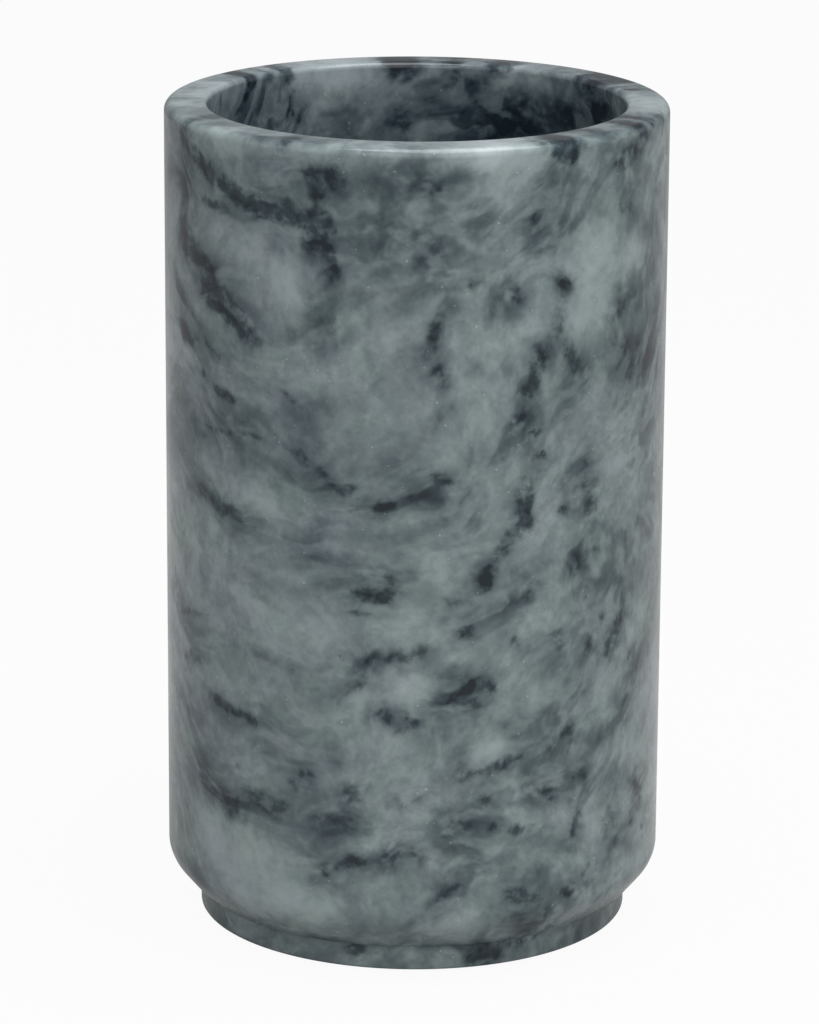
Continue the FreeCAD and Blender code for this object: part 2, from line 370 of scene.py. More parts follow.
# Veins on the outside: width in millimetres and darkness, then points as degrees from the front and height.
FRONT_VEINS = (
    # upper left
    (1.2, 0.9, (-66, 129.6), (-62, 127)),
    (0.9, 0.7, (-90, 129), (-91, 127)),
    (1.2, 0.7, (-28, 129.6), (-32, 126.6)),
    (0.9, 0.6, (-17, 129.4), (-16, 126.8)),
    (1.3, 1.4, (-67, 127), (-57, 123), (-47, 119.8), (-36, 117.8), (-25, 116.9), (-19, 116.6)),
    (0.8, 1.0, (-57, 117.4), (-53, 117), (-46, 116)),
    (1.0, 0.9, (-25, 125.2), (-22.5, 122), (-22, 119)),
    (1.5, 0.85, (-19, 125.5), (-17.5, 121.5)),
    (1.1, 1.0, (-25, 114), (-21, 113.3), (-18, 109)),
    (1.9, 1.2, (-66, 112), (-58, 108.5)),
    (2.2, 1.3, (-57, 107), (-47, 101.5)),
    (1.4, 1.3, (-48, 101.8), (-36, 97.4)),
    (1.5, 1.0, (-66, 96.5), (-60, 96)),
    (0.7, 0.5, (-58, 96), (-45, 93)),
    (0.5, 0.45, (-36, 91.8), (-24, 88.5)),
    (1.2, 0.75, (-72, 104.5), (-64, 99.5)),
    (0.8, 0.8, (-56.5, 91), (-54.5, 90.4)),
    (0.8, 0.9, (-51, 89), (-44, 88.2)),
    (0.6, 0.5, (-50, 85.6), (-36, 84.2)),
    (0.5, 0.55, (-57, 82.6), (-44, 83.3), (-33, 82.6)),
    (0.6, 0.7, (-59, 81), (-54, 81.3)),
    (0.9, 0.9, (-30, 82.5), (-24, 80.9)),
    (0.7, 0.6, (-24, 80.7), (-18, 78.2)),
    (1.0, 0.95, (-19, 77.8), (-13.5, 77)),
    (1.2, 1.0, (-9.5, 73.9), (-4, 75)),
    (1.1, 0.6, (-62, 73), (-52, 71.3), (-41, 69.5)),
    # upper right
    (2.4, 1.3, (33, 129.8), (36, 127)),
    (0.9, 0.7, (27, 129), (29, 127)),
    (0.9, 1.0, (58, 129.6), (61, 127)),
    (0.9, 1.0, (65, 129.6), (69, 127)),
    (0.8, 0.6, (107, 129), (105, 127)),
    (1.0, 0.6, (49, 100.5), (53, 102)),
    (1.6, 0.5, (50, 96.5), (54, 95)),
    (0.6, 0.4, (57.5, 79.8), (59.5, 78.6)),
    (1.2, 0.5, (43, 72), (46, 74)),
    (0.9, 0.85, (3.5, 122.3), (4.5, 121.5)),
    (1.1, 0.9, (32, 126.8), (37, 125.8)),
    (1.3, 0.8, (25, 116.5), (29, 117.2)),
    (1.3, 0.9, (49, 123), (55, 124), (64, 126.5)),
    (1.2, 0.5, (50.5, 119), (54, 114.5)),
    (1.3, 0.5, (55.5, 117.5), (59, 115.5)),
    (0.5, 0.65, (10, 107.2), (15, 108.3)),
    (0.8, 0.8, (21, 107.4), (24, 105)),
    (1.1, 0.9, (5.5, 103.5), (2.5, 97.5)),
    (1.2, 1.0, (6.3, 96), (5.6, 93.2)),
    (0.9, 0.8, (32, 108), (37, 106)),
    (0.9, 0.8, (33.3, 105), (33, 100)),
    (1.2, 0.75, (33, 100.5), (40.5, 92)),
    (1.7, 0.65, (29, 98.5), (26.5, 93)),
    (1.4, 0.95, (24.3, 91.8), (28, 92)),
    (0.8, 0.6, (21.5, 86.5), (26, 88)),
    (0.5, 0.7, (26.5, 85.3), (30, 85.1)),
    (0.7, 0.95, (27, 81.3), (30, 81.8)),
    (1.0, 1.0, (5, 79.7), (7, 78.6)),
    (1.1, 0.8, (26.3, 79.5), (26, 71.5), (21.5, 69.5), (17, 65.5), (16.3, 61.5)),
    (1.3, 0.7, (23.5, 76), (23.5, 73)),
    (1.0, 0.95, (34.5, 73.8), (35.5, 72.6)),
    (0.9, 0.5, (42.5, 81), (41, 77), (42, 73)),
    # lower left
    (0.8, 0.45, (-30, 48.4), (-26, 48.7)),
    (0.5, 0.5, (-24, 45.8), (-20, 45.9)),
    (0.6, 0.6, (-45, 31.7), (-43, 31.9)),
    (0.5, 0.5, (-41, 31.7), (-39.5, 31.3)),
    (0.5, 0.45, (-37, 34.6), (-34.5, 35)),
    (0.9, 0.85, (-14, 62.2), (-8, 60.8), (-5, 61.5)),
    (1.2, 0.6, (-6.5, 65), (-4.5, 62.5)),
    (0.5, 0.8, (-18, 58), (-6.5, 58.3)),
    (0.9, 0.6, (-18, 52), (-13.5, 51.4)),
    (1.0, 0.6, (-12, 50.8), (-8.5, 52.5)),
    (1.0, 0.95, (-6, 51.3), (-1, 51.9), (3.5, 53.6)),
    (0.8, 0.6, (-19, 43.6), (-14, 46.2), (-10.5, 48.3)),
    (1.0, 0.95, (-9, 43.6), (-4.5, 41.3), (2, 41.5)),
    (0.8, 0.85, (-55, 41.2), (-46, 40.3), (-36, 38.9)),
    (0.6, 0.8, (-69, 51.8), (-62, 52.6), (-56.5, 53.4)),
    (1.1, 0.75, (-67, 45.1), (-56, 46.6)),
    (1.0, 0.9, (-26, 32.6), (-22, 32.3)),
    (0.8, 0.8, (-29.5, 31.2), (-26.5, 30.2)),
    (1.6, 0.9, (-16.5, 29.5), (-12.5, 30.2)),
    (1.0, 0.9, (-60, 27.5), (-52, 26), (-41, 25.3)),
    (1.2, 1.0, (-41, 28.1), (-34, 26.8), (-28, 26)),
    (1.6, 0.4, (-26, 26), (-12, 25.8)),
    (1.0, 0.6, (-49, 24), (-42, 23.3)),
    (0.9, 0.8, (-21.5, 17.9), (-17.5, 18.8)),
    (1.1, 0.95, (-16.5, 19.4), (-11.5, 19.9)),
    (1.4, 0.5, (-9, 20.2), (2, 21.7)),
    (1.3, 0.9, (-17, 4.2), (-12, 4)),
    # lower right
    (1.4, 0.45, (58, 41), (61, 43.5)),
    (0.8, 0.55, (60.5, 65.4), (64, 71)),
    (0.7, 0.5, (36.5, 44.5), (38, 44.2)),
    (0.9, 0.4, (41, 62), (45, 64)),
    (0.8, 0.5, (22.5, 25.8), (25.5, 23)),
    (1.2, 0.6, (60, 10), (63, 9.6)),
    (0.9, 0.9, (24.5, 59.5), (29.5, 63.2)),
    (0.7, 0.7, (5, 60.6), (11, 60.4), (14.5, 59.2)),
    (1.1, 0.75, (11, 56.2), (13, 55.3)),
    (1.0, 0.95, (21.5, 53.7), (23.5, 53)),
    (1.3, 0.8, (33, 54.5), (34, 51.5)),
    (0.9, 0.65, (44, 53), (42.5, 49)),
    (1.1, 0.8, (49, 47.8), (52, 51), (56, 54.5)),
    (0.8, 0.6, (46.5, 54.2), (48.5, 56)),
    (1.0, 0.9, (7, 45), (12, 45.6)),
    (0.9, 0.8, (11.5, 46.5), (14, 49)),
    (0.9, 0.9, (11, 45.8), (15.5, 44.2)),
    (0.8, 0.65, (16.5, 48.8), (19.5, 45.5)),
    (1.1, 0.6, (39, 65), (39, 61)),
    (0.9, 0.75, (41.5, 59.5), (42, 57.5)),
    (0.9, 0.6, (43.5, 65.5), (48.5, 65.3)),
    (1.0, 0.6, (56.5, 46), (58.5, 48)),
    (1.0, 0.4, (31.5, 37.3), (34, 35.8)),
    (0.9, 0.75, (34.5, 37.9), (40, 38.3)),
    (0.9, 0.9, (11, 33), (15, 33.7), (25, 35.4)),
    (1.0, 0.8, (14, 28.7), (17, 29.8)),
    (1.1, 0.65, (30.5, 30.2), (33, 28)),
    (1.1, 0.65, (39.5, 30.3), (44.5, 32)),
    (0.6, 0.6, (25, 31.6), (32, 28.4)),
    (1.0, 0.75, (6.5, 24.8), (12, 25.8)),
    (0.8, 0.7, (17, 25.5), (19.5, 25)),
    (0.7, 0.7, (22.5, 23.6), (26, 25.4)),
    (1.1, 0.9, (40.8, 25.5), (40.3, 21)),
    (0.9, 0.55, (59.5, 27), (65, 24.5), (67, 21)),
    (1.2, 0.7, (60.5, 19.8), (62, 20.4)),
    (0.7, 0.65, (66, 20), (68, 16)),
    (1.3, 0.7, (6.5, 14), (10, 17.6)),
    (1.3, 0.9, (21.5, 14.3), (28, 12.7)),
    (0.7, 1.0, (36, 12.9), (39.5, 12.8)),
    (0.6, 0.6, (42.5, 14.5), (45.5, 16.5)),
    (1.5, 1.1, (38, 7), (28, 4.6)),
    (1.8, 1.1, (28, 4.6), (14, 2)),
)

# Dark clouds and, below zero, pale patches on the outside, in the same terms; a few are painted shade and
# painted light, marked below.
FRONT_TONES_AND_PAINTED_LIGHT = (
    # upper left, dark
    (2.0, 0.35, (-24, 121), (-13, 121)),
    (1.6, 0.3, (-62, 108), (-46, 100)),
    (2.0, 0.25, (-66, 90.5), (-50, 91.5)),
    (1.6, 0.3, (-70, 99), (-62, 96.6)),
    (2.0, 0.4, (-5, 113.5), (1, 114.5)),
    (2.6, 0.3, (-72, 121), (-66, 117.5)),
    (1.7, 1.4, (-66, 130), (-50, 130)),
    (1.7, 1.5, (-45, 130), (-16, 130)),
    (1.8, 0.6, (-22, 115.6), (-17, 115.6)),
    (1.6, 0.5, (-24, 110.6), (-19, 109.6)),
    (2.0, 0.5, (-67, 121), (-61, 119)),
    (1.8, 0.4, (-47, 116), (-40, 115.6)),
    (1.6, 0.35, (-53, 87.5), (-46, 86.4)),
    (2.8, 0.75, (-36, 115.4), (-23, 114)),
    (2.4, 0.6, (-22, 112), (-21, 105)),
    (2.8, 0.45, (-14, 121), (-5, 114.5)),
    (1.8, 0.4, (-19, 113.5), (-13, 111.5)),
    (2.4, 0.4, (-33, 123), (-26, 124.6)),
    (2.4, 0.5, (-28, 101.5), (-18, 99)),
    (2.2, 0.6, (-67, 99), (-58, 96)),
    (2.0, 0.45, (-58, 95), (-52, 90.5)),
    (1.8, 0.4, (-18, 73.5), (-6, 72.8)),
    (2.4, 0.4, (-49, 79), (-32, 77.8)),
    (2.2, 0.3, (-65, 79.5), (-55, 79)),
    (2.0, 0.3, (-24, 77), (-15, 78.4)),
    (4.4, 0.2, (-48, 102.6), (-30, 102)),
    (4.4, 0.22, (-11, 101), (1, 103.5)),
    (2.6, 0.4, (-64, 124.5), (-50, 121), (-38, 118.6), (-24, 117.6)),
    (3.0, 0.45, (-25, 125), (-18, 122.5)),
    (2.0, 0.45, (-23, 113.8), (-18, 108.5)),
    (2.2, 0.65, (-64.5, 122.5), (-62.5, 112.5)),
    (3.6, 0.65, (-66, 112), (-54.5, 104.9), (-39, 97.6)),
    (2.4, 0.55, (-73, 104), (-64, 97.5), (-55, 94.8)),
    (2.6, 0.45, (-18.5, 105), (-20, 98)),
    (1.8, 0.35, (-56, 91), (-46.5, 88)),
    (3.0, 0.4, (-66, 83), (-47, 84), (-33, 83.8)),
    (2.4, 0.45, (-33, 81.6), (-13, 77.2)),
    (3.0, 0.4, (-64.5, 82), (-63.5, 76.8)),
    (2.2, 0.4, (-10, 125), (-7.5, 121)),
    (2.0, 0.35, (-5.5, 124.5), (-3, 121.5)),
    (2.4, 0.3, (-13, 115.5), (-6, 110.5)),
    (2.6, 0.3, (-28, 88.5), (-22, 85.5)),
    (2.4, 0.6, (-63, 74), (-49, 71.5), (-39, 69)),
    (2.2, 0.55, (-10.5, 73.8), (5, 79)),
    (3.0, 0.35, (-23, 69), (-18, 64)),
    (5.5, 0.25, (-12, 119), (2, 114)),
    # upper left, pale
    (1.7, -1.5, (-125, 130), (-74, 130)),
    # partly painted highlight: pale stone along the front rim's outer edge, brightened to stand in for the
    # highlight on its rounded edge
    (1.6, -0.55, (-60, 126.6), (-34, 126.4)),
    (1.6, -0.45, (-34, 126.4), (-12, 126.4)),
    (2.2, -0.5, (-73, 107.4), (-58, 101.6)),
    (1.8, -0.4, (-58, 101), (-38, 95.4)),
    (2.6, -0.35, (-33, 95), (-21, 94)),
    (2.4, -0.3, (-68, 113.5), (-52, 112)),
    (2.2, -0.4, (-61, 87.6), (-54, 86.4)),
    (2.6, -0.3, (-73, 94), (-65, 92.5)),
    (3.0, -0.3, (-6, 90), (-2, 85)),
    (1.2, -0.4, (-8, 76.4), (-1, 77.4)),
    (2.4, -0.3, (-70, 71), (-62, 69.5)),
    (2.0, -0.3, (-60, 75), (-55, 74)),
    (5.0, -0.65, (-35, 109.5), (-27, 105.5)),
    (3.4, -0.4, (-48, 112.5), (-40, 112)),
    (5.5, -0.25, (-12, 93), (-5, 98)),
    (2.6, -0.3, (-52, 76.8), (-32, 74.8)),
    (3.0, -0.25, (-67, 78), (-60, 77.5)),
    # upper right, dark
    (1.6, 0.35, (31, 115), (40, 115.6)),
    (2.0, 0.35, (63, 105), (67, 108)),
    (1.6, 0.5, (34, 100.5), (36, 96)),
    (2.0, 0.45, (29, 121.5), (31, 117)),
    (2.6, 0.5, (69, 99), (74, 97)),
    (2.4, 0.4, (68, 92), (74, 90)),
    (1.7, 1.8, (40, 130), (56, 130)),
    (1.6, 2.4, (32, 130), (37, 130)),
    (1.7, 1.8, (56, 130), (74, 130)),
    (1.7, 1.2, (100, 130), (112, 130)),
    (1.8, 0.5, (0.5, 112.2), (8, 112)),
    (1.8, 0.5, (49.5, 100.6), (54, 101.4)),
    (1.8, 0.4, (55, 103.6), (58, 101.5)),
    (2.4, 0.5, (69, 100.4), (73, 98)),
    (1.8, 0.35, (61, 84.4), (66, 84.6)),
    (1.8, 0.4, (21.5, 73), (27, 72.4)),
    (2.2, 0.75, (-1.5, 124.8), (4, 121)),
    (2.8, 0.35, (22, 122.4), (25.5, 119.8)),
    (2.0, 0.4, (41.5, 121), (44, 117)),
    (2.4, 0.3, (10, 114.5), (14, 117)),
    (1.8, 0.35, (25, 113.4), (30, 113.9)),
    (1.8, 0.65, (33.5, 105.6), (39, 106.8)),
    (2.0, 0.35, (12, 103), (23, 103.6)),
    (2.2, 0.4, (11, 94), (18, 97)),
    (1.8, 0.35, (1.5, 93.6), (8, 93.4)),
    (1.8, 0.35, (6, 88.4), (15, 89.6)),
    (2.0, 0.4, (21.5, 84.4), (23.5, 89.5)),
    (1.8, 0.25, (33, 87.5), (38, 91)),
    (2.0, 0.85, (0.5, 77), (4.5, 75)),
    (2.4, 0.45, (9.5, 75), (12, 71.5)),
    (1.8, 0.4, (41, 74.4), (43, 70.4)),
    (2.0, 0.3, (29, 77), (38, 78.5)),
    (2.2, 0.3, (53, 79.2), (60, 79)),
    (3.4, 0.35, (60, 94), (70, 90)),
    (2.0, 0.35, (52, 89.4), (57, 87.6)),
    (2.6, 0.45, (66, 119), (73, 118.3)),
    (2.0, 0.3, (44.5, 125.2), (50, 123.8)),
    (2.6, 0.35, (7, 125), (11, 121)),
    (3.0, 0.35, (0, 113.5), (5, 111.5)),
    (2.6, 0.35, (13, 118), (17, 115.5)),
    (2.0, 0.7, (25.5, 97.2), (31, 97)),
    (2.0, 0.25, (24, 86.5), (29, 87.5)),
    (1.8, 0.4, (13, 82), (23, 84.5)),
    (3.0, 0.4, (50, 91), (66, 96)),
    (1.6, 0.4, (63, 80), (70, 82)),
    (3.0, 0.35, (0, 77), (9, 75)),
    (1.0, 0.35, (4, 88.5), (11, 89.5)),
    (3.0, 0.55, (53, 124), (65, 126.5)),
    (3.0, 0.45, (52, 118.5), (57, 116)),
    (2.8, 0.5, (26, 115), (29, 117)),
    (2.6, 0.35, (29, 121), (38, 124)),
    (1.8, 0.4, (60, 114.5), (69, 110.8), (67.5, 105.5)),
    (2.0, 0.4, (3, 121), (6, 122)),
    (2.0, 0.5, (6, 107), (4, 100.5), (6, 93.5)),
    (2.2, 0.45, (19, 106.5), (24, 105)),
    (1.6, 0.4, (31, 107.5), (36, 106)),
    (2.2, 0.5, (35.5, 98), (40, 91.5)),
    (2.4, 0.6, (28.5, 97), (24.5, 91), (23.5, 85.5)),
    (3.2, 0.4, (51, 103.5), (66, 103)),
    (4.2, 0.6, (52, 96.5), (66, 93.5)),
    (2.4, 0.35, (52, 90), (66, 90.5)),
    (1.6, 0.3, (26, 84), (26, 75)),
    (2.2, 0.45, (23, 72.5), (16.5, 63)),
    (2.4, 0.3, (35, 74.5), (37, 72)),
    (2.4, 0.35, (39, 81), (44, 76)),
    (3.0, 0.3, (61, 78), (69, 74)),
    # upper right, pale
    (1.8, -0.4, (38, 87.5), (42, 90)),
    (1.6, -0.4, (26, 101), (29.5, 96.5)),
    (1.8, -0.35, (52, 101), (61, 97.5)),
    # partly painted highlight: pale stone along the front rim's outer edge, brightened to stand in for the
    # highlight on its rounded edge
    (1.4, -0.5, (6, 126.2), (22, 126)),
    (1.7, -1.4, (76, 130), (104, 130)),
    (1.8, -0.5, (23, 88.5), (30, 94)),
    (1.8, -0.4, (14, 95), (17, 92)),
    # partly painted highlight: pale stone along the front rim's outer edge, brightened to stand in for the
    # highlight on its rounded edge
    (2.4, -0.7, (6, 128.2), (26, 127.6)),
    (2.6, -0.45, (11.5, 102), (5, 97)),
    (2.4, -0.4, (27.5, 106), (28, 101)),
    (2.2, -0.55, (35, 97), (41.5, 100.8)),
    (2.4, -0.3, (42, 100.8), (50, 98.6)),
    (2.4, -0.5, (46.5, 92), (46.5, 88.5)),
    (2.6, -0.5, (52, 107.6), (63, 109.6)),
    (1.8, -0.4, (47.5, 120), (55, 115)),
    (2.0, -0.35, (7, 121.6), (9, 118)),
    (2.4, -0.4, (65, 125), (71, 123)),
    (2.4, -0.4, (3, 83), (10.5, 82.4)),
    (2.2, -0.4, (19, 75), (20.5, 67.5)),
    (1.6, -0.35, (23.5, 82), (24, 77)),
    (2.6, -0.4, (32, 69), (37, 71)),
    (2.6, -0.3, (57, 70), (64, 74)),
    (3.8, -0.65, (17, 125.5), (23, 121.8)),
    (4.2, -0.6, (48, 114), (42, 108), (41, 103)),
    (4.0, -0.2, (15, 102), (19, 99)),
    (4.2, -0.2, (12.5, 91.5), (15.5, 85)),
    (4.0, -0.45, (51, 81), (53, 75)),
    (2.6, -0.4, (31, 76), (27, 67)),
    (4.0, -0.3, (70, 124), (66, 118)),
    # lower left, dark
    (1.6, 0.5, (-63, 9.4), (-57, 9)),
    # painted shade: dark strokes along the groove under the shoulder's overhang
    (0.9, 0.8, (-62, 5.8), (-36, 5.6)),
    (0.7, 0.6, (-36, 5.6), (-10, 5.2)),
    # partly painted shade: a darker band round the foot, close to the floor, over dark stone
    (2.4, 0.35, (-72, 3), (-20, 2.6)),
    (2.0, 0.5, (-63, 10), (-57, 9.5)),
    (2.6, 0.5, (-75, 68), (-70, 64)),
    (1.8, 0.5, (-18, 24.8), (-12, 24.6)),
    (2.2, 0.4, (-69, 19), (-63, 18)),
    (1.6, 0.4, (-9, 43.6), (-5, 40.6)),
    (2.2, 0.65, (-13.5, 48), (-4.5, 50.6)),
    (3.0, 0.4, (-38, 47), (-30, 45)),
    (2.4, 0.35, (-29, 43.6), (-18, 42)),
    (3.0, 0.4, (-35, 37.4), (-27, 34.6)),
    (2.4, 0.25, (-24, 47.5), (-18, 46.6)),
    (2.0, 0.4, (-4, 32), (-1.5, 30)),
    (2.0, 0.6, (-6.5, 20.6), (1, 22)),
    (2.2, 0.35, (-25, 18.6), (-19, 16.8)),
    (2.4, 0.3, (-27, 62.6), (-17, 65)),
    (2.6, 0.4, (-73, 67), (-69, 62.5)),
    (3.0, 0.55, (-14, 61.5), (-5, 63)),
    (2.0, 0.5, (-16, 51.5), (3, 52.7)),
    (3.0, 0.35, (-67, 52), (-57, 51.5)),
    (3.0, 0.35, (-67, 45.5), (-55, 45)),
    (2.2, 0.4, (-57, 41), (-36, 38.8)),
    (3.0, 0.45, (-68, 40), (-63, 36.5)),
    (2.0, 0.4, (-7, 43), (4, 40.8)),
    (2.6, 0.35, (-57, 31), (-50, 28)),
    (2.6, 0.5, (-64, 28.2), (-48, 25.8), (-33.6, 26.6)),
    (2.6, 0.5, (-31, 26), (-12, 25.6)),
    (2.4, 0.3, (-22, 37), (-14, 36.6)),
    (1.8, 0.35, (-19, 35.4), (-15, 34.9)),
    (1.6, 0.25, (-22, 23.6), (-18, 20.6)),
    (2.6, 0.35, (-63, 60), (-58, 58)),
    (2.6, 0.4, (-67, 38.5), (-59, 35.5)),
    (3.0, 0.35, (-60, 32), (-51, 30)),
    (1.8, 0.4, (-16, 30.2), (-13, 29.6)),
    (1.6, 0.4, (-27.5, 33), (-22.5, 32.3)),
    (1.8, 0.4, (-21, 18), (1, 21)),
    (3.0, 0.35, (-58, 12), (-48, 12)),
    # lower left, pale
    (1.6, -0.3, (-13, 63.6), (2, 62.6)),
    (1.8, -0.35, (-8, 13.5), (-3, 11.5)),
    # partly painted light: paler stone on the shoulder stands in for light thrown up onto it by the floor
    (2.6, -0.5, (-52, 11.5), (-34, 11)),
    (2.8, -0.7, (-33, 10.5), (-18, 10.5)),
    (1.6, -0.5, (-11, 52.6), (-4, 54)),
    (2.0, -0.35, (-14, 23), (-8, 22)),
    (3.0, -0.4, (-67, 57.4), (-59, 55)),
    (2.2, -0.45, (-71, 42), (-57, 41)),
    (2.4, -0.35, (-53, 35), (-42, 34)),
    (1.3, -0.4, (-57, 30), (-44, 27.8)),
    (3.0, -0.5, (-58, 24), (-54, 19)),
    (3.0, -0.45, (-53, 19), (-50, 13)),
    (2.4, -0.45, (-10, 38.6), (-2, 40)),
    (2.2, -0.4, (-18, 32), (-12, 34.4)),
    (2.4, -0.35, (-34, 14), (-27, 14.6)),
    (6.0, -0.2, (-58, 65), (-44, 62)),
    (4.5, -0.25, (-32, 57), (-20, 57)),
    (4.0, -0.4, (-3, 58), (2, 56.5)),
    (3.4, -0.65, (-5.5, 46.4), (0, 47.6)),
    (3.0, -0.3, (-6, 34.5), (-2, 34)),
    (4.2, -0.45, (-54, 16.5), (-30, 18)),
    # lower right, dark
    (1.4, 0.3, (26, 24), (33, 25)),
    (1.4, 0.35, (69, 62), (72, 74)),
    (1.6, 0.6, (27, 8.6), (33, 9)),
    # painted shade: dark stroke along the groove under the shoulder's overhang
    (0.8, 0.6, (-2, 5.2), (24, 5.2)),
    # partly painted shade: darker bands round the foot, close to the floor, over dark stone
    (2.4, 0.4, (42, 3.4), (74, 3.4)),
    (2.0, 0.45, (10, 3), (30, 3)),
    (2.2, 0.9, (26, 9), (32, 9)),
    (2.2, 0.5, (38, 46), (46, 47.5)),
    (2.4, 0.4, (31, 37), (35, 33)),
    (1.6, 0.4, (11, 33.6), (18, 32.8)),
    (2.6, 0.5, (65, 69), (72, 67)),
    (2.2, 0.55, (40, 67), (43, 63.6)),
    (2.0, 0.5, (45, 60), (49, 61)),
    (1.8, 0.5, (14, 44), (17, 48.5)),
    (1.6, 0.4, (5, 46.4), (12, 48.6)),
    (1.8, 0.45, (11, 26.4), (20, 25.6)),
    (1.6, 0.5, (52, 19.6), (52.5, 16.5)),
    (1.6, 0.45, (44.5, 14), (48, 15)),
    (1.8, 0.35, (53.5, 30.5), (56, 27)),
    (1.8, 0.55, (2, 45), (6, 45)),
    (1.6, 0.4, (8, 47.4), (13, 49.2)),
    (1.8, 0.5, (19.5, 38.8), (27, 39.4)),
    (2.2, 0.4, (22, 31.8), (33.5, 28)),
    (2.0, 1.0, (37, 28.4), (43, 28.6)),
    (2.4, 0.45, (5.5, 25), (14, 24.4)),
    (2.0, 0.35, (11, 23.6), (13.5, 20.5)),
    (2.2, 0.5, (10, 16.4), (15, 18.6)),
    (2.0, 0.4, (29, 16), (37, 12)),
    (2.4, 0.45, (41, 54), (44, 49.5)),
    (2.4, 0.4, (30, 51), (32, 47.5)),
    (2.0, 0.3, (22, 58), (22, 53)),
    (1.4, 0.5, (15.5, 66.5), (16.5, 61)),
    (2.2, 0.6, (61, 27.6), (67, 24.5)),
    (2.0, 0.3, (42, 34), (50, 37)),
    (1.2, 0.45, (18, 58.5), (26, 60)),
    (2.2, 0.55, (39, 67), (39.5, 61)),
    (2.2, 0.35, (52, 61), (55, 55)),
    (3.0, 0.35, (62, 49), (66, 43)),
    (3.0, 0.35, (52, 38.5), (62, 40.5)),
    (2.0, 0.4, (46.5, 37.5), (51, 35.5)),
    (2.6, 0.35, (22, 37), (28, 36)),
    (2.4, 0.4, (38, 35), (42, 33.6)),
    (2.4, 0.35, (27, 41.5), (36, 42.5)),
    (2.0, 0.2, (17, 21.5), (27, 22.5)),
    (2.2, 0.35, (51, 19), (57, 24)),
    (2.4, 0.35, (27, 30.5), (44, 31)),
    (2.6, 0.4, (52, 65.5), (58, 67)),
    (3.0, 0.35, (41, 70), (57, 60)),
    (2.4, 0.45, (49.5, 47.5), (58, 56)),
    (2.2, 0.35, (5, 60.8), (19, 59.5)),
    (2.4, 0.4, (10.5, 56.5), (13, 55)),
    (2.4, 0.5, (33, 53.5), (35, 50.5)),
    (2.6, 0.45, (8, 45), (17, 48.3)),
    (2.4, 0.4, (34, 38.2), (41, 38.6)),
    (1.8, 0.5, (13, 33.4), (26, 35)),
    (2.2, 0.4, (14.5, 31), (17, 29.5)),
    (2.6, 0.25, (28, 42), (40, 45.5)),
    (3.0, 0.35, (55, 39), (66, 46)),
    (1.8, 0.5, (40.5, 25), (39.5, 20)),
    (2.8, 0.35, (50.5, 26), (52.5, 15)),
    (2.4, 0.35, (63, 26), (61, 17)),
    (2.8, 0.5, (4.5, 12), (10, 17.5)),
    (3.0, 0.6, (20.5, 12), (27.5, 15)),
    (2.4, 0.4, (35, 13), (41, 12.5)),
    # lower right, pale
    (1.8, -0.3, (17, 48), (20, 43.5)),
    (1.4, -0.35, (19, 36.6), (28, 38.6)),
    (1.6, -0.35, (35, 30), (46, 28.6)),
    (2.2, -0.4, (58, 13), (74, 14.5)),
    (2.4, -0.5, (3, 10), (16, 10.5)),
    (2.0, -0.4, (54, 13), (60, 12)),
    (2.2, -0.4, (4, 17.5), (12, 17)),
    (2.4, -0.5, (45, 66.5), (51, 62)),
    (2.4, -0.4, (29, 58.2), (36, 58.8)),
    (2.4, -0.4, (9, 69), (8, 62.5)),
    (2.4, -0.55, (49, 44), (50, 39.5)),
    (3.0, -0.4, (62, 37.6), (70, 43)),
    (1.8, -0.35, (13, 31.6), (17, 33)),
    (1.6, -0.4, (7, 50.6), (12, 53)),
    (2.0, -0.35, (28, 43.6), (33, 44.6)),
    (2.2, -0.45, (56.5, 22), (59, 24)),
    (2.6, -0.35, (44, 20), (49, 24)),
    (3.2, -0.35, (59, 50), (65, 53)),
    (2.4, -0.5, (16, 37.4), (20.5, 36.8)),
    (3.0, -0.3, (18, 52.5), (21, 51)),
    (3.0, -0.25, (25, 58.5), (29, 55.5)),
    (2.0, -0.3, (34, 26.6), (37, 25)),
    (2.8, -0.4, (44.5, 24), (45.5, 17.5)),
    (3.6, -0.3, (56, 34), (61, 30)),
)

# Veins across the rim and down the far wall of the bore: as above, but in degrees from the back.
BORE_VEINS = (
    (0.7, 0.8, (-53, 129), (-54.5, 126.5), (-57, 124.8), (-63, 122.3)),
    (1.4, 0.6, (-39, 129), (-38, 124), (-36.5, 119)),
    (2.2, 0.9, (-6, 129.4), (-3, 126)),
    (1.4, 0.7, (10, 129.4), (12.5, 126)),
    (1.0, 0.5, (-5, 120), (-3, 116.5)),
    (2.0, 1.1, (22, 129.6), (26, 127)),
    (2.2, 1.2, (63, 129.4), (56, 127)),
    (1.6, 0.9, (54, 129.6), (50, 127.4)),
    (1.4, 0.6, (66, 126.5), (61, 122.5)),
    (0.8, 0.6, (-72, 127.5), (-71, 124)),
    (1.2, 1.0, (-41, 129.6), (-39, 126.4)),
    (0.8, 0.7, (-46, 129.2), (-47, 127)),
    (1.2, 1.0, (-54, 129.6), (-52, 126.8)),
)

